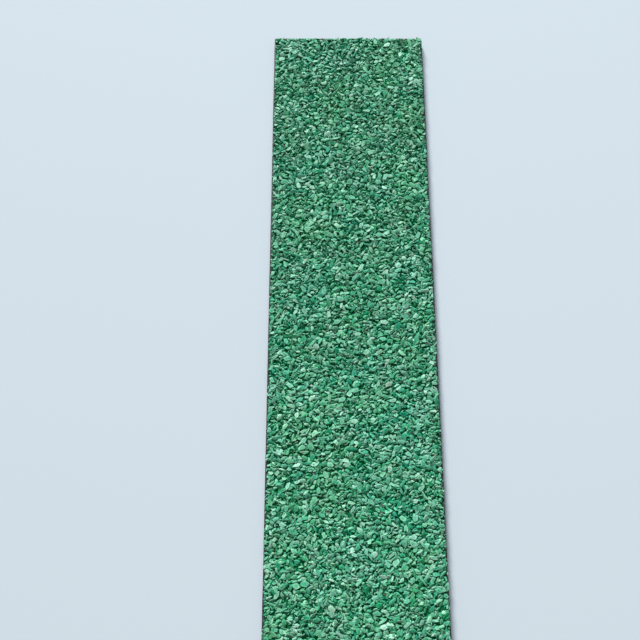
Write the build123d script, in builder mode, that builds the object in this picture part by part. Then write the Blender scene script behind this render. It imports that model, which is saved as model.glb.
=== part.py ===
"""Flat cut sheet of mineral-surfaced roofing felt: bitumen faced with pressed-in slate flakes."""

import os

from build123d import *

# Driving dimensions, in mm and degrees. The origin is the middle of the underside, +X runs across
# the sheet, +Y runs along it and +Z points up to the slate face.
sheet_width = 60.0  # between the two long knife cuts, at the underside
sheet_length = 300.0  # between the two end cuts, at the underside
bitumen_thickness = 3.0
corner_radius = 0.8  # the four corners in plan, blunted by handling
cut_lean = 3.0  # each knife cut leans in by this angle towards the top
arris_radius = 0.4  # top edge of the bitumen, drawn round by the knife
bare_margin = 0.3  # flat bitumen left bare where flakes broke away along the cuts
surfacing_height = 1.2  # top of the flakes over the bitumen they are pressed into
surfacing_corner_radius = 1.5  # more flakes have gone at the corners than along the cuts
surfacing_bevel = 0.5  # the outermost flakes lie low, as a bevel round the slate face

# The bitumen sheet, cut on all four sides, with its upper edges drawn round by the knife.
with BuildPart() as bitumen_sheet:
    with BuildSketch(Plane.XY):
        RectangleRounded(sheet_width, sheet_length, corner_radius)
    extrude(amount=bitumen_thickness, taper=cut_lean)
    cut_face = bitumen_sheet.faces().sort_by(Axis.Z)[-1]
    fillet(cut_face.edges(), arris_radius)
    flat_top = bitumen_sheet.faces().sort_by(Axis.Z)[-1].bounding_box().size

# The slate surfacing lies on what stays flat of the bitumen's top, inside the bare margin.
with BuildPart() as slate_surfacing:
    with BuildSketch(Plane.XY.offset(bitumen_thickness)):
        RectangleRounded(
            flat_top.X - 2 * bare_margin,
            flat_top.Y - 2 * bare_margin,
            surfacing_corner_radius,
        )
    extrude(amount=surfacing_height)
    slate_face = slate_surfacing.faces().sort_by(Axis.Z)[-1]
    chamfer(slate_face.edges(), surfacing_bevel)

bitumen_sheet.part.label = "bitumen_sheet"
slate_surfacing.part.label = "slate_surfacing"

os.makedirs("parts", exist_ok=True)
export_step(bitumen_sheet.part, "parts/bitumen_sheet.step")
export_step(slate_surfacing.part, "parts/slate_surfacing.step")
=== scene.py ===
"""Looks for a flat cut sheet of roofing felt, faced with pressed-in green slate flakes.

Everything is in metres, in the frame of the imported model: +X across the sheet, +Y along it, +Z up.
The sheet is centred on the origin, so its high corner also gives its half width and half length.
"""

import math
from typing import NamedTuple

import bpy
import numpy as np
from bpy.props import FloatProperty, FloatVectorProperty, IntProperty, PointerProperty
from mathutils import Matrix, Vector, noise


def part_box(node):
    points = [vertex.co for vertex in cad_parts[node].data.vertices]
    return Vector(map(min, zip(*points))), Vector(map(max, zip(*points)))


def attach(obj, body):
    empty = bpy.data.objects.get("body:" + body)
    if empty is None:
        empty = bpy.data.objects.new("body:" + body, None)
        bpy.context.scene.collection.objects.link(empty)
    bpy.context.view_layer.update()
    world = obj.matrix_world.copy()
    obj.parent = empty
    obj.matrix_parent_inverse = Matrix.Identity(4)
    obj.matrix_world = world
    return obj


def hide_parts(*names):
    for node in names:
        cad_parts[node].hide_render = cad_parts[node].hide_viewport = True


bl_info = {
    "name": "Slate-faced roofing felt",
    "version": (1, 0, 0),
    "blender": (4, 5, 0),
    "location": "3D View > Sidebar > Felt",
    "description": "Builds a cut sheet of bitumen felt with a pressed-in slate face",
    "category": "Add Mesh",
}

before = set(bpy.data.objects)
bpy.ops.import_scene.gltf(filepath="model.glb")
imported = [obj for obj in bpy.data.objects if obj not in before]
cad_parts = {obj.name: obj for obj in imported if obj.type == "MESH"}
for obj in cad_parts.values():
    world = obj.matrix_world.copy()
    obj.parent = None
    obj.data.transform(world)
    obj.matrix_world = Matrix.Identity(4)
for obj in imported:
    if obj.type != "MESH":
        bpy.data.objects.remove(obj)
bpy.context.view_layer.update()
SHEET_LOW, SHEET_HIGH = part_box("bitumen_sheet")
FACE_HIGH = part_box("slate_surfacing")[1]
FACE_REACH = np.array((FACE_HIGH.x, FACE_HIGH.y))

# How flakes come to rest on each other.
PLACES_TRIED = 6  # places out of which a flake takes the lowest
FEWEST_CELLS = 6  # grid cells that a flake has to cover to be laid
BEARING_SHARE = 0.86  # share of the ground under a flake that lies below its underside
LEAST_SHOWN = 0.3  # share of a flake that has to be uppermost when it is laid
FEWEST_SHOWING = 3  # grid cells that a flake has to show when all are laid, or it is left out
FLAKES_IN_A_PIECE = 4000  # keeps each mesh well under 200,000 triangles

# The shape of a flake.
UNDERSIDE_SHARE = 0.85  # size of its underside, as a share of its outline
BEVEL_SHARE = 0.44  # how far its shoulder is set in, as a share of its thickness
LEAST_REACH = 0.35  # what the knife leaves past its middle, as a share of its half breadth
SHARP_ANGLE = math.radians(30.0)  # between faces that meet in a sharp edge

# One row for each flake or chip: where it lies, how it is turned, its size, how far its ends rise,
# how many corners it has, how it thickens to one side, and how its colour differs from the usual.
FLAKE = np.dtype(
    [
        ("x", float),
        ("y", float),
        ("base", float),
        ("turn", float),
        ("half_long", float),
        ("half_short", float),
        ("thickness", float),
        ("rise_long", float),
        ("rise_short", float),
        ("corners", int),
        ("wedge_long", float),
        ("wedge_short", float),
        ("tone", float),
        ("tint", float),
        ("odd", float),
    ]
)

# Ranges of the marks and the noise that the materials spread over colour, roughness and gloss.
WHOLE = (-1, 1)  # a tone or a tint, from least to most
RIM_HIGHLIGHT = (0.4, 1)  # an edge mark, from none to the full painted highlight on a flake's shoulder
STAINED_AND_SHADED = (0, -1)  # an edge mark, from clean to the darkest low side: painted shade, partly bitumen wetting
BARE_STONE = (0, -1)  # an odd mark, from coated green to pale bare stone
BROWN_STONE = (0, 1)  # an odd mark, from coated green to brown stone
NOISE = (0.3, 0.7)  # most values of a noise
SHARE = (0, 1)

# A Mix node has sockets for numbers, for vectors and for colours. These are its colour sockets.
MIX_FIRST = 6
MIX_SECOND = 7
MIX_RESULT = 2

# The stage.
FLOOR_REACH = 2.0  # from the origin, each way
FLOOR_DROP = 0.00005  # below the sheet, so that the two surfaces don't coincide
SKY_COLOUR = (0.93, 0.97, 1.0)
KEY_PLACE = (-0.7, 2.1, 1.4)  # low, past the far end of the sheet
KEY_COLOUR = (1.0, 1.0, 1.0)
KEY_WIDTH = math.radians(18.0)
FILL_PLACE = (0.0, 0.62, 0.85)
FILL_COLOUR = (0.80, 0.92, 1.0)
FILL_SIZE = 0.7
CAMERA_CLIP_START = 0.005


def length_setting(name, description, default):
    return FloatProperty(
        name=name, description=description, default=default, min=0.0, precision=5, unit="LENGTH"
    )


def angle_setting(name, description, degrees):
    return FloatProperty(
        name=name, description=description, default=math.radians(degrees), subtype="ANGLE"
    )


def share_setting(name, description, default):
    return FloatProperty(
        name=name, description=description, default=default, min=0.0, max=1.0, subtype="FACTOR"
    )


def count_setting(name, description, default):
    return IntProperty(name=name, description=description, default=default, min=1)


def colour_setting(name, description, default):
    return FloatVectorProperty(
        name=name, description=description, default=default, min=0.0, max=1.0, subtype="COLOR"
    )


class CutSheetSettings(bpy.types.PropertyGroup):
    """The bitumen sheet and its knife-cut sides."""

    corner_radius: length_setting("Corner radius", "How blunt the four corners are", 0.0008)
    cut_lean: angle_setting("Cut lean", "How far the cut sides lean in towards the top", 3.0)
    arris_radius: length_setting("Arris radius", "Roundness of the upper edges", 0.0004)
    wander: length_setting("Knife wander", "How far the cut strays inward", 0.00022)
    drag: length_setting("Knife drag", "Depth of the marks that the blade left", 0.00006)
    step: length_setting("Mesh step", "Distance between points along the cut", 0.0005)
    bitumen: colour_setting("Bitumen", "Colour of the bitumen", (0.020, 0.021, 0.023))
    filler: colour_setting("Filler", "Colour of the mineral filler", (0.16, 0.165, 0.17))
    sand: colour_setting("Sand", "Fine sand on the underside", (0.085, 0.083, 0.078))
    dust: colour_setting("Dust", "Slate dust caught between flakes", (0.002, 0.165, 0.060))


class FlakeSettings(bpy.types.PropertyGroup):
    """The slate flakes and the chips between them."""

    length: length_setting("Flake length", "Usual length of a flake", 0.0021)
    spread: FloatProperty(
        name="Length spread", description="Spread of the lengths, in natural logs", default=0.27
    )
    longest: length_setting("Longest flake", "Longest flake that the sieve let through", 0.0034)
    thickness: length_setting("Flake thickness", "Usual thickness of a flake", 0.00052)
    chip_length: length_setting("Chip length", "Usual length of a chip", 0.0009)
    chip_thickness: length_setting("Chip thickness", "Usual thickness of a chip", 0.00028)
    flakes: count_setting("Flakes", "Flakes sprinkled in each course", 4800)
    courses: count_setting("Courses", "Courses of flakes", 3)
    chips: count_setting("Chips", "Chips sprinkled in each course", 2200)
    steepest: angle_setting("Steepest", "Steepest that a flake stays after pressing", 20.0)
    sink: share_setting("Sink", "Share of a bedded flake's thickness in the bitumen", 0.4)
    cell: length_setting("Grid cell", "Cell of the height grid that flakes rest on", 0.0001)
    ragged: length_setting("Ragged edge", "How unevenly the flakes end along the cuts", 0.0005)
    corner_radius: length_setting("Corner radius", "How round the face's corners are", 0.0015)
    seed: IntProperty(name="Seed", description="Seed for every random draw", default=11)
    slate: colour_setting("Slate", "Colour of a usual flake", (0.024, 0.428, 0.202))
    shade: share_setting("Shade", "How far flakes differ in lightness", 0.42)
    # Painted highlight: how much lighter each flake's shoulder is painted, all round it.
    rim_highlight: share_setting("Wear", "How much lighter the worn edges are", 0.35)
    gloss: share_setting("Gloss", "Specular level of the coated faces", 0.45)
    # Painted shade: the colour that darkens each flake's low sides, partly bitumen that wets them.
    stain_and_shade: colour_setting("Stain", "Flake edges wetted by bitumen", (0.000, 0.130, 0.048))
    brown: colour_setting("Brown stone", "Colour of the stray brown chips", (0.125, 0.118, 0.09))
    pale: colour_setting("Pale stone", "Colour of flakes that took little green", (0.19, 0.40, 0.26))


class StageSettings(bpy.types.PropertyGroup):
    """The floor, the lamps and the camera."""

    floor: colour_setting("Floor", "Colour of the floor", (0.66, 0.73, 0.78))
    backdrop: colour_setting("Backdrop", "Colour seen past the floor's end", (0.58, 0.64, 0.69))
    sky: FloatProperty(name="Sky", description="Strength of the even light", default=0.20)
    key: FloatProperty(name="Key light", description="Strength of the low, even light", default=3.6)
    fill: FloatProperty(
        name="Fill lamp", description="Power of the lamp past the far end", default=3.5, unit="POWER"
    )
    lens: FloatProperty(
        name="Lens", description="Focal length in millimetres", default=39.4, unit="CAMERA"
    )
    camera_tilt: angle_setting("Camera tilt", "Line of sight, measured from straight down", 16.9)
    camera_height: length_setting("Camera height", "Height over the slate face", 0.2372)
    camera_back: length_setting("Camera back", "How far short of the face's far end it is", 0.1912)
    camera_left: length_setting("Camera left", "How far left of the middle it is", 0.0114)


# Meshes


def add_piece(name, mesh, replaced):
    """Puts a mesh into the scene as a piece of the sheet, in place of the CAD node it stands for."""
    piece = bpy.data.objects.new(name, mesh)
    bpy.context.scene.collection.objects.link(piece)
    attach(piece, "root")
    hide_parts(replaced)
    return piece


def smooth_mesh(name, points, faces, marks):
    """A smoothly shaded mesh. Its marks are numbers on its points, which the materials read."""
    mesh = bpy.data.meshes.new(name)
    mesh.from_pydata(points.tolist(), [], faces)
    for mark, values in marks.items():
        attribute = mesh.attributes.new(mark, "FLOAT", "POINT")
        attribute.data.foreach_set("value", values.astype(np.float32))
    mesh.polygons.foreach_set("use_smooth", [True] * len(mesh.polygons))
    mesh.update()
    return mesh


def cut_stations(half_width, half_length, step, corner_points=6):
    """Points round the sheet. Each has its share of the way between two corners on either axis,
    from -1 to 1, and its outward normal, so that the outline can be drawn at any inset."""
    shares, normals = [], []
    corners = ((1, 1), (-1, 1), (-1, -1), (1, -1))
    for quarter, corner in enumerate(corners):
        following = corners[(quarter + 1) % 4]
        for turn in np.linspace(quarter, quarter + 1, corner_points) * math.pi / 2:
            shares.append(corner)
            normals.append((math.cos(turn), math.sin(turn)))
        run = 2 * (half_width if quarter % 2 == 0 else half_length)
        for part in np.arange(step, run - step / 2, step) / run:
            shares.append([a + (b - a) * part for a, b in zip(corner, following)])
            normals.append(normals[-1])
    return np.array(shares, float), np.array(normals)


class EdgePoint(NamedTuple):
    """A point of the sheet's edge in section."""

    inset: float
    height: float
    wander: float = 0.0  # share of the knife's wander that moves it
    drag: float = 0.0  # share of the knife's drag marks that show there
    dust: float = 0.0  # how thickly slate dust lies there, from 0 to 1


def cut_section(settings, thickness):
    """The sheet's edge in section, from the underside round the cut side to the top."""
    lean = math.tan(settings.cut_lean)
    radius = settings.arris_radius
    foot = 0.00006  # break of the lower edge
    straight = 0.0012  # distance from the cut at which its wander has died out
    cut_rows = 14
    side_top = thickness - radius
    turned_in = side_top * lean + radius
    section = [
        EdgePoint(inset=straight, height=0.0),
        EdgePoint(inset=0.0005, height=0.0, wander=0.6),
        EdgePoint(inset=foot, height=0.0, wander=1.0),
    ]
    for height in np.linspace(foot, side_top, cut_rows):
        section.append(EdgePoint(height * lean, height, wander=1.0, drag=1.0))
    for turn in np.radians((20.0, 40.0, 60.0, 78.0, 90.0)):
        inset = turned_in - radius * math.cos(turn)
        height = side_top + radius * math.sin(turn)
        section.append(EdgePoint(inset, height, wander=1.0, drag=0.5))
    section.append(EdgePoint(turned_in + 0.0004, thickness, wander=0.6, dust=0.4))
    section.append(EdgePoint(turned_in + straight, thickness, dust=1.0))
    return section


def waves(outline, in_a_metre, level):
    """Smooth noise round an outline, with this many waves in a metre."""
    return np.array(
        [noise.noise(Vector((x * in_a_metre, y * in_a_metre, level))) for x, y in outline]
    )


def drag_marks(outline, height, along=70, up=5200):
    """Marks that the blade drew along the cut: this many in a metre along it and up it."""
    smoothness, finer_by, octaves = 0.6, 2.1, 3
    places = [Vector((x * along, y * along, height * up)) for x, y in outline]
    return np.array([noise.fractal(place, smoothness, finer_by, octaves) for place in places])


def ring_faces(rings, points):
    """Faces over a stack of rings of this many points, which close its first and last ring too."""
    here = np.arange(points)
    after = np.roll(here, -1)
    faces = [here[::-1].tolist()]
    for below in range(0, (rings - 1) * points, points):
        above = below + points
        band = np.column_stack((below + here, below + after, above + after, above + here))
        faces += band.tolist()
    faces.append((here + (rings - 1) * points).tolist())
    return faces


def bitumen_mesh(settings):
    """The sheet as rings stacked from the underside round the cut sides to the top."""
    half_width, half_length = SHEET_HIGH.x, SHEET_HIGH.y
    least_radius = 0.0002  # of a ring's corners, however far in it lies
    shares, normals = cut_stations(half_width, half_length, settings.step)
    outline = shares * (half_width, half_length)
    wander = 0.7 * waves(outline, 30, level=3.1) + 0.3 * waves(outline, 190, level=7.7)
    wander = settings.wander * (0.5 + 0.5 * wander)
    section = cut_section(settings, SHEET_HIGH.z)
    rings = []
    for point in section:
        marks = (0.5 + 0.5 * drag_marks(outline, point.height)).clip(0, 1)
        inward = point.inset + point.wander * wander + point.drag * settings.drag * marks
        radius = np.maximum(settings.corner_radius - inward, least_radius)
        core = np.column_stack((half_width - inward - radius, half_length - inward - radius))
        flat = shares * core + normals * radius[:, None]
        rings.append(np.column_stack((flat, np.full(len(flat), point.height))))
    faces = ring_faces(len(rings), len(outline))
    dust = np.repeat([point.dust for point in section], len(outline))
    return smooth_mesh("bitumen_sheet", np.concatenate(rings), faces, {"dust": dust})


class SlateBed:
    """A height grid over the sheet, on which flakes come to rest one by one."""

    def __init__(self, sheet, flakes):
        self.cell = flakes.cell
        self.low = np.array((SHEET_LOW.x, SHEET_LOW.y))
        self.x = np.arange(SHEET_LOW.x + self.cell / 2, SHEET_HIGH.x, self.cell)
        self.y = np.arange(SHEET_LOW.y + self.cell / 2, SHEET_HIGH.y, self.cell)
        to_edge = np.minimum(
            (SHEET_HIGH.x - np.abs(self.x))[None, :], (SHEET_HIGH.y - np.abs(self.y))[:, None]
        )
        lean_in = SHEET_HIGH.z * math.tan(sheet.cut_lean)
        round_part = (sheet.arris_radius + lean_in - to_edge).clip(0, sheet.arris_radius)
        drop = sheet.arris_radius - np.sqrt(sheet.arris_radius**2 - round_part**2)
        self.height = SHEET_HIGH.z - drop
        self.owner = np.full(self.height.shape, -1)
        self.ceiling = FACE_HIGH.z
        self.steepest = math.tan(flakes.steepest)

    def lowest(self, places):
        """The place where the bed is lowest, out of a few."""
        cells = ((places - self.low) / self.cell).astype(int)
        return places[np.argmin(self.height[cells[:, 1], cells[:, 0]])]

    def slope(self, ground, share, half_size):
        """How far the ground rises over half a flake, as its own slope or the steepest allowed."""
        most = self.steepest * half_size
        return np.clip(ground @ share / (share @ share), -most, most)

    def lay(self, flake, number, sink):
        """Rests a flake on what is under it, pressed down to the ceiling, and marks where it is
        uppermost. Returns False if it covers too few cells or too little of it would show."""
        middle = np.array((flake["x"], flake["y"]))
        reach = flake["half_long"]
        left, bottom = ((middle - reach - self.low) / self.cell).astype(int).clip(0)
        right, top = ((middle + reach - self.low) / self.cell).astype(int) + 1
        window = (slice(bottom, top), slice(left, right))
        across = self.x[left:right][None, :] - flake["x"]
        along = self.y[bottom:top][:, None] - flake["y"]
        cos, sin = math.cos(flake["turn"]), math.sin(flake["turn"])
        lengthwise = (across * cos + along * sin) / flake["half_long"]
        crosswise = (along * cos - across * sin) / flake["half_short"]
        under = lengthwise * lengthwise + crosswise * crosswise <= 1
        lengthwise, crosswise = lengthwise[under], crosswise[under]
        if len(lengthwise) < FEWEST_CELLS:
            return False
        ground = self.height[window][under]
        rise_long = self.slope(ground, lengthwise, flake["half_long"])
        rise_short = self.slope(ground, crosswise, flake["half_short"])
        plane = rise_long * lengthwise + rise_short * crosswise
        rank = int(BEARING_SHARE * len(ground))
        base = np.partition(ground - plane, rank)[rank] - sink * flake["thickness"]
        base = min(base, self.ceiling - flake["thickness"] - math.hypot(rise_long, rise_short))
        upper = plane + base + flake["thickness"]
        shown = upper > ground
        if np.count_nonzero(shown) < LEAST_SHOWN * len(shown):
            return False
        flake["base"], flake["rise_long"], flake["rise_short"] = base, rise_long, rise_short
        self.height[window][under] = np.maximum(ground, upper)
        owners = self.owner[window]
        owners[under] = np.where(shown, number, owners[under])
        return True


class Grade(NamedTuple):
    """Pieces of slate of about one size, and how they are sprinkled."""

    count: int
    length: float
    thickness: float
    sink: float  # share of the thickness that goes into what is under it
    overhang: float  # how far past the slate face's box a piece's middle may lie
    odd: int  # what the odd pieces are: 1 brown, -1 pale
    odd_share: float


def sprinkle(bed, rng, grade, settings, first_number):
    """Draws pieces of this grade, lays each in the lowest of a few places and returns those that
    came to rest."""
    count = grade.count
    drawn = np.zeros(count, FLAKE)
    long = np.minimum(grade.length * np.exp(rng.normal(0, settings.spread, count)), settings.longest)
    slimness = rng.uniform(1.3, 2.4, count)
    stoutness = rng.uniform(0.7, 1.3, count)
    drawn["half_long"] = long / 2
    drawn["half_short"] = long / 2 / slimness
    drawn["thickness"] = grade.thickness * (long / grade.length) ** 0.5 * stoutness
    drawn["turn"] = rng.normal(0.2, 0.85, count)  # most lie more across the sheet than along it
    drawn["wedge_long"] = rng.normal(0, 0.3, count)
    drawn["wedge_short"] = rng.normal(0, 0.4, count)
    drawn["tone"] = rng.normal(0, 0.45, count).clip(-1, 1)
    drawn["tint"] = rng.uniform(-1, 1, count)
    bare = rng.normal(0, 0.12, count).clip(-0.4, 0.4)
    drawn["odd"] = np.where(rng.random(count) < grade.odd_share, grade.odd, bare)
    places = rng.uniform(-1, 1, (count, PLACES_TRIED, 2)) * (FACE_REACH + grade.overhang)
    laid = []
    for flake, choice in zip(drawn, clear_of_corners(places, settings.corner_radius)):
        flake["x"], flake["y"] = bed.lowest(choice)
        if bed.lay(flake, first_number + len(laid), grade.sink):
            laid.append(flake.copy())
    return laid


def clear_of_corners(places, radius):
    """Moves places that lie past the face's round corners in to the arc."""
    core = FACE_REACH - radius
    past = (np.abs(places) - core).clip(0)
    reach = np.linalg.norm(past, axis=-1, keepdims=True)
    at_corner = (past > 0).all(axis=-1, keepdims=True) & (reach > radius)
    on_arc = core + past * radius / np.maximum(reach, radius)
    return np.where(at_corner, np.sign(places) * on_arc, places)


def lay_slate(sheet, settings, rng):
    """Lays courses of flakes, each with chips over it, and returns the pieces that still show."""
    bed = SlateBed(sheet, settings)
    bedded = Grade(
        count=settings.flakes,
        length=settings.length,
        thickness=settings.thickness,
        sink=settings.sink,
        overhang=-0.0001,
        odd=-1,
        odd_share=0.006,
    )
    upper = bedded._replace(sink=0.1)
    chips = Grade(
        count=settings.chips,
        length=settings.chip_length,
        thickness=settings.chip_thickness,
        sink=0.2,
        overhang=0.0004,
        odd=1,
        odd_share=0.02,
    )
    laid = []
    for course in range(settings.courses):
        for grade in (bedded if course == 0 else upper, chips):
            laid += sprinkle(bed, rng, grade, settings, len(laid))
    laid = np.array(laid, FLAKE)
    showing = np.bincount(bed.owner[bed.owner >= 0], minlength=len(laid))
    kept = laid[showing >= FEWEST_SHOWING]
    small = kept["half_long"] < settings.chip_length
    few_corners = rng.integers(4, 6, len(kept))
    more_corners = rng.integers(5, 7, len(kept))
    kept["corners"] = np.where(small, few_corners, more_corners)
    return kept


def flake_outlines(count, corners, rng):
    """Outlines of this many flakes, each a unit circle made uneven, as (flake, corner, axis)."""
    shifts = rng.uniform(-0.33, 0.33, (count, corners))
    turn = (np.arange(corners) + shifts) * 2 * math.pi / corners
    radius = rng.uniform(0.76, 1.14, (count, corners))
    return np.stack((radius * np.cos(turn), radius * np.sin(turn)), axis=2)


def plate_points(group, corners, ragged, rng):
    """Points and edge marks of flakes that have this many corners. Each has a lower ring, a rim, a
    shoulder and a crown point. Its edge mark is -1 where a flake's low side is darkened as painted
    shade, partly bitumen wetting, and 1 where its shoulder is lightened as a painted highlight."""
    outline = flake_outlines(len(group), corners, rng)
    crown = rng.uniform(-0.4, 0.4, (len(group), 1, 2))
    size = np.stack((group["half_long"], group["half_short"]), axis=1)[:, None, :]
    thickness = group["thickness"][:, None]
    shoulder = outline * (1 - BEVEL_SHARE * thickness[:, :, None] / size)
    rim_level = rng.uniform(0.3, 0.65, (len(group), corners))
    shoulder_level = rng.uniform(0.84, 1.0, (len(group), corners))
    crown_level = rng.uniform(0.95, 1.4, (len(group), 1))
    # Edge marks: painted shade, partly bitumen wetting, on the lower ring and half of it on the rim;
    # a painted highlight on the shoulder.
    rings = (
        (outline * UNDERSIDE_SHARE, 0.0, -1.0),
        (outline, rim_level, -0.5),
        (shoulder, shoulder_level, 1.0),
        (crown, crown_level, 0.0),
    )
    middle = np.stack((group["x"], group["y"]), axis=1)[:, None, :]
    trim = FACE_REACH + ragged * rng.uniform(-0.2, 1.0, (len(group), 1, 2))
    trim = np.maximum(trim, np.abs(middle) + LEAST_REACH * size[:, :, 1:])
    cos, sin = np.cos(group["turn"])[:, None], np.sin(group["turn"])[:, None]
    points, edges = [], []
    for shape, level, edge in rings:
        lengthwise, crosswise = shape[:, :, 0], shape[:, :, 1]
        wedge_long = group["wedge_long"][:, None] * lengthwise
        wedge_short = group["wedge_short"][:, None] * crosswise
        level = level * (1 + wedge_long + wedge_short)
        along, across = lengthwise * size[:, :, 0], crosswise * size[:, :, 1]
        x = group["x"][:, None] + along * cos - across * sin
        y = group["y"][:, None] + along * sin + across * cos
        z = (
            group["base"][:, None]
            + group["rise_long"][:, None] * lengthwise
            + group["rise_short"][:, None] * crosswise
            + level * thickness
        )
        flat = np.clip(np.stack((x, y), axis=2), -trim, trim)
        pressed = np.minimum(z, FACE_HIGH.z)[:, :, None]
        points.append(np.concatenate((flat, pressed), axis=2))
        edges.append(np.full(z.shape, edge))
    return np.concatenate(points, axis=1), np.concatenate(edges, axis=1)


def plate_faces(corners):
    """Faces of one flake: its lower and upper bands, the fan to its crown, and its underside."""
    here = np.arange(corners)
    after = np.roll(here, -1)
    low_band = np.stack((here, after, after + corners, here + corners), axis=1)
    crown = np.full(corners, 3 * corners)
    fan = np.stack((here + 2 * corners, after + 2 * corners, crown), axis=1)
    return low_band, low_band + corners, fan, here[None, ::-1]


def plates_mesh(name, flakes, ragged, rng):
    """Joins flakes into one mesh, in which each is a closed plate of its own."""
    points, faces, edges, shades = [], [], [], []
    first = 0
    for corners in np.unique(flakes["corners"]):
        group = flakes[flakes["corners"] == corners]
        stack, edge = plate_points(group, corners, ragged, rng)
        points_each = stack.shape[1]
        starts = first + points_each * np.arange(len(group))[:, None, None]
        for part in plate_faces(corners):
            faces += (starts + part).reshape(-1, part.shape[1]).tolist()
        points.append(stack.reshape(-1, 3))
        edges.append(edge.ravel())
        shades.append(np.repeat(group[["tone", "tint", "odd"]], points_each))
        first += len(group) * points_each
    shades = np.concatenate(shades)
    marks = {mark: shades[mark] for mark in shades.dtype.names}
    marks["edge"] = np.concatenate(edges)
    mesh = smooth_mesh(name, np.concatenate(points), faces, marks)
    mesh.set_sharp_from_angle(angle=SHARP_ANGLE)
    return mesh


# Materials


def new_material(name):
    """A new node material, with its node tree and its shader."""
    material = bpy.data.materials.new(name)
    material.use_nodes = True
    return material, material.node_tree, material.node_tree.nodes["Principled BSDF"]


def feed(tree, socket, value):
    """Gives an input socket its value, or the output socket that feeds it."""
    if isinstance(value, bpy.types.NodeSocket):
        tree.links.new(value, socket)
    else:
        socket.default_value = value


def feed_all(tree, node, inputs):
    """Feeds a node's inputs, each named or numbered."""
    for socket, value in inputs.items():
        feed(tree, node.inputs[socket], value)


def add_node(tree, kind, inputs=None, **options):
    """A new node with these inputs fed and these options set."""
    node = tree.nodes.new(kind)
    for option, value in options.items():
        setattr(node, option, value)
    feed_all(tree, node, inputs or {})
    return node


def read_mark(tree, name):
    """The mark of this name that smooth_mesh put on the points."""
    return add_node(tree, "ShaderNodeAttribute", attribute_name=name).outputs["Fac"]


def add_noise(tree, place, scale, detail=3.0):
    """Noise on the piece's own metres. scale is how many bumps there are in a metre."""
    inputs = {"Vector": place, "Scale": scale, "Detail": detail}
    return add_node(tree, "ShaderNodeTexNoise", inputs).outputs["Fac"]


def remap(tree, value, taken, given):
    """Spreads a value, as it goes through the range taken, over the range given."""
    sockets = ("Value", "From Min", "From Max", "To Min", "To Max")
    inputs = dict(zip(sockets, (value, *taken, *given)))
    return add_node(tree, "ShaderNodeMapRange", inputs).outputs["Result"]


def multiply(tree, product, *factors):
    """The product of sockets and numbers."""
    for factor in factors:
        node = add_node(tree, "ShaderNodeMath", {0: product, 1: factor}, operation="MULTIPLY")
        product = node.outputs[0]
    return product


def mix(tree, share, first, second):
    """A colour between two, each of them a socket or a setting."""
    node = add_node(tree, "ShaderNodeMix", {0: share}, data_type="RGBA")
    for socket, colour in ((MIX_FIRST, first), (MIX_SECOND, second)):
        is_socket = isinstance(colour, bpy.types.NodeSocket)
        feed(tree, node.inputs[socket], colour if is_socket else (*colour, 1.0))
    return node.outputs[MIX_RESULT]


def bump(tree, height, distance, normal=None):
    """A normal tilted by a height, of this many metres, on top of another normal if given one."""
    inputs = {"Height": height, "Distance": distance, "Strength": 1.0}
    if normal:
        inputs["Normal"] = normal
    return add_node(tree, "ShaderNodeBump", inputs).outputs["Normal"]


def slate_material(settings):
    """Coated slate: each flake has its own shade, with mottled, finely grained faces."""
    material, tree, shader = new_material("green_slate")
    place = add_node(tree, "ShaderNodeTexCoord").outputs["Object"]
    tone, tint, odd, edge = (read_mark(tree, mark) for mark in ("tone", "tint", "odd", "edge"))
    mottle = add_noise(tree, place, 2200)
    patches = add_noise(tree, place, 70)
    clusters = add_noise(tree, place, 160)
    grain = add_noise(tree, place, 5000)
    lightness = multiply(
        tree,
        remap(tree, tone, WHOLE, (1 - settings.shade, 1 + settings.shade)),
        # painted highlight on each flake's shoulder
        remap(tree, edge, RIM_HIGHLIGHT, (1, 1 + settings.rim_highlight)),
        remap(tree, mottle, NOISE, (0.7, 1.3)),
    )
    hue = multiply(
        tree,
        remap(tree, tint, WHOLE, (0.487, 0.513)),
        remap(tree, patches, NOISE, (0.98, 1.02)),
    )
    saturation = multiply(
        tree,
        remap(tree, tone, WHOLE, (1.2, 0.58)),
        # the painted highlight is paler as well as lighter
        remap(tree, edge, RIM_HIGHLIGHT, (1, 0.77)),
        remap(tree, clusters, NOISE, (0.9, 1.1)),
    )
    stone = mix(tree, remap(tree, odd, BROWN_STONE, SHARE), settings.slate, settings.brown)
    stone = mix(tree, remap(tree, odd, BARE_STONE, SHARE), stone, settings.pale)
    changes = {"Hue": hue, "Saturation": saturation, "Value": lightness, "Color": stone}
    stone = add_node(tree, "ShaderNodeHueSaturation", changes).outputs["Color"]
    looks = {
        # painted shade: each flake's low sides darkened towards the stain colour, partly bitumen
        # wetting
        "Base Color": mix(tree, remap(tree, edge, STAINED_AND_SHADED, SHARE), stone, settings.stain_and_shade),
        "Roughness": remap(tree, mottle, NOISE, (0.4, 0.58)),
        "Specular IOR Level": remap(tree, edge, (-0.5, 0), (0, settings.gloss)),
        "Normal": bump(tree, grain, 0.00005),
    }
    feed_all(tree, shader, looks)
    return material


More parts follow.
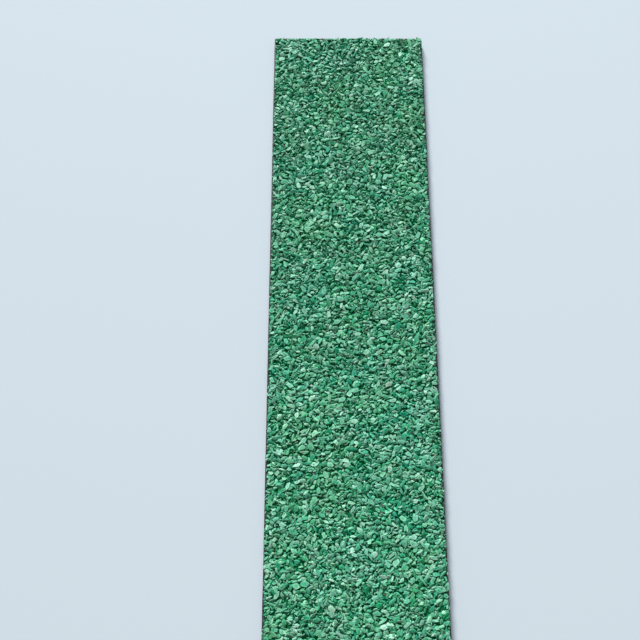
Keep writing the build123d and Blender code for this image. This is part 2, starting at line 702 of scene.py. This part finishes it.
def bitumen_material(settings):
    """Filled bitumen: smeared and specked on the cut sides, dusted with slate on top, sanded
    underneath."""
    material, tree, shader = new_material("bitumen")
    coordinates = add_node(tree, "ShaderNodeTexCoord")
    place = coordinates.outputs["Object"]
    facing = add_node(tree, "ShaderNodeSeparateXYZ", {0: coordinates.outputs["Normal"]}).outputs["Z"]
    drawn_out = {"Vector": place, "Scale": (90.0, 90.0, 5000.0)}  # bumps in a metre, each way
    streaks = add_noise(tree, add_node(tree, "ShaderNodeMapping", drawn_out).outputs[0], 1.0, 2.0)
    specks = add_noise(tree, place, 3800, 1.0)
    grit = add_noise(tree, place, 2600)
    clumps = add_noise(tree, place, 1100)
    smears = add_noise(tree, place, 700)
    pores = add_noise(tree, place, 4200)
    filled = remap(tree, specks, (0.6, 0.68), (0, 0.75))
    dusting = multiply(
        tree,
        read_mark(tree, "dust"),
        remap(tree, clumps, (0.4, 0.6), (0.7, 1)),
    )
    sanding = multiply(
        tree,
        remap(tree, facing, (-0.6, -0.95), SHARE),
        remap(tree, grit, (0.35, 0.6), (0.3, 1)),
    )
    colour = mix(tree, filled, settings.bitumen, settings.filler)
    colour = mix(tree, dusting, colour, settings.dust)
    looks = {
        "Base Color": mix(tree, sanding, colour, settings.sand),
        "Roughness": remap(tree, smears, NOISE, (0.42, 0.68)),
        "Specular IOR Level": remap(tree, dusting, (0, 0.7), (0.5, 0)),
        "Normal": bump(tree, pores, 0.00004, bump(tree, streaks, 0.00004)),
    }
    feed_all(tree, shader, looks)
    return material


def floor_material(settings):
    """Plain, pale and matt."""
    material, tree, shader = new_material("pale_floor")
    looks = {"Base Color": (*settings.floor, 1.0), "Roughness": 0.85, "Specular IOR Level": 0.1}
    feed_all(tree, shader, looks)
    return material


# Stage


def add_floor(settings):
    """A wide floor just under the sheet."""
    corners = ((-1, -1), (1, -1), (1, 1), (-1, 1))
    points = [(x * FLOOR_REACH, y * FLOOR_REACH, -FLOOR_DROP) for x, y in corners]
    mesh = bpy.data.meshes.new("floor")
    mesh.from_pydata(points, [], [(0, 1, 2, 3)])
    mesh.materials.append(floor_material(settings))
    floor = bpy.data.objects.new("floor", mesh)
    bpy.context.scene.collection.objects.link(floor)


def add_sky(settings):
    """Even light on the sheet, while the camera sees the backdrop's colour in its place."""
    world = bpy.data.worlds.new("even_sky")
    world.use_nodes = True
    tree = world.node_tree
    seen = add_node(tree, "ShaderNodeLightPath").outputs["Is Camera Ray"]
    looks = {
        "Color": mix(tree, seen, SKY_COLOUR, settings.backdrop),
        "Strength": remap(tree, seen, SHARE, (settings.sky, 1)),
    }
    feed_all(tree, tree.nodes["Background"], looks)
    bpy.context.scene.world = world


def add_light(name, kind, place, strength, colour):
    """A lamp at this place that points at the middle of the sheet."""
    light = bpy.data.lights.new(name, kind)
    light.energy, light.color = strength, colour
    lamp = bpy.data.objects.new(name, light)
    lamp.location = place
    lamp.rotation_euler = (-lamp.location).to_track_quat("-Z", "Y").to_euler()
    bpy.context.scene.collection.objects.link(lamp)
    return light


def add_camera(settings):
    """The photograph's viewpoint: over the sheet, left of its middle, tilted to its far end."""
    camera = bpy.data.objects.new("camera", bpy.data.cameras.new("camera"))
    camera.data.lens = settings.lens
    camera.data.clip_start = CAMERA_CLIP_START
    camera.location = (
        -settings.camera_left,
        FACE_HIGH.y - settings.camera_back,
        FACE_HIGH.z + settings.camera_height,
    )
    camera.rotation_euler = (settings.camera_tilt, 0.0, 0.0)
    bpy.context.scene.collection.objects.link(camera)
    bpy.context.scene.camera = camera


# Operators and panel


class FELT_OT_bitumen_sheet(bpy.types.Operator):
    """Builds the bitumen sheet with its knife-cut sides"""

    bl_idname = "felt.bitumen_sheet"
    bl_label = "Bitumen sheet"

    def execute(self, context):
        settings = context.scene.felt_sheet
        mesh = bitumen_mesh(settings)
        mesh.materials.append(bitumen_material(settings))
        add_piece("bitumen", mesh, "bitumen_sheet")
        return {"FINISHED"}


class FELT_OT_slate_face(bpy.types.Operator):
    """Sprinkles courses of slate flakes and chips over the sheet and presses them in"""

    bl_idname = "felt.slate_face"
    bl_label = "Slate face"

    def execute(self, context):
        settings = context.scene.felt_flakes
        rng = np.random.default_rng(settings.seed)
        flakes = lay_slate(context.scene.felt_sheet, settings, rng)
        material = slate_material(settings)
        pieces = math.ceil(len(flakes) / FLAKES_IN_A_PIECE)
        for number, part in enumerate(np.array_split(flakes, pieces), start=1):
            mesh = plates_mesh(f"slate_course_{number}", part, settings.ragged, rng)
            mesh.materials.append(material)
            add_piece(f"slate_course_{number}", mesh, "slate_surfacing")
        return {"FINISHED"}


class FELT_OT_stage(bpy.types.Operator):
    """Sets up the pale floor, the soft light and the camera"""

    bl_idname = "felt.stage"
    bl_label = "Stage"

    def execute(self, context):
        settings = context.scene.felt_stage
        context.scene.view_settings.view_transform = "Standard"
        add_floor(settings)
        add_sky(settings)
        key = add_light("key", "SUN", KEY_PLACE, settings.key, KEY_COLOUR)
        key.angle = KEY_WIDTH
        fill = add_light("fill", "AREA", FILL_PLACE, settings.fill, FILL_COLOUR)
        fill.size = FILL_SIZE
        add_camera(settings)
        return {"FINISHED"}


class FELT_PT_panel(bpy.types.Panel):
    """Lists the steps that build the sheet"""

    bl_idname = "FELT_PT_panel"
    bl_label = "Roofing felt"
    bl_space_type = "VIEW_3D"
    bl_region_type = "UI"
    bl_category = "Felt"

    def draw(self, context):
        for operator in (FELT_OT_bitumen_sheet, FELT_OT_slate_face, FELT_OT_stage):
            self.layout.operator(operator.bl_idname)


CLASSES = (
    CutSheetSettings,
    FlakeSettings,
    StageSettings,
    FELT_OT_bitumen_sheet,
    FELT_OT_slate_face,
    FELT_OT_stage,
    FELT_PT_panel,
)


def register():
    for cls in CLASSES:
        bpy.utils.register_class(cls)
    bpy.types.Scene.felt_sheet = PointerProperty(type=CutSheetSettings)
    bpy.types.Scene.felt_flakes = PointerProperty(type=FlakeSettings)
    bpy.types.Scene.felt_stage = PointerProperty(type=StageSettings)


def unregister():
    del bpy.types.Scene.felt_stage
    del bpy.types.Scene.felt_flakes
    del bpy.types.Scene.felt_sheet
    for cls in reversed(CLASSES):
        bpy.utils.unregister_class(cls)


def main():
    register()
    bpy.ops.felt.bitumen_sheet()
    bpy.ops.felt.slate_face()
    bpy.ops.felt.stage()


if __name__ == "__main__":
    main()
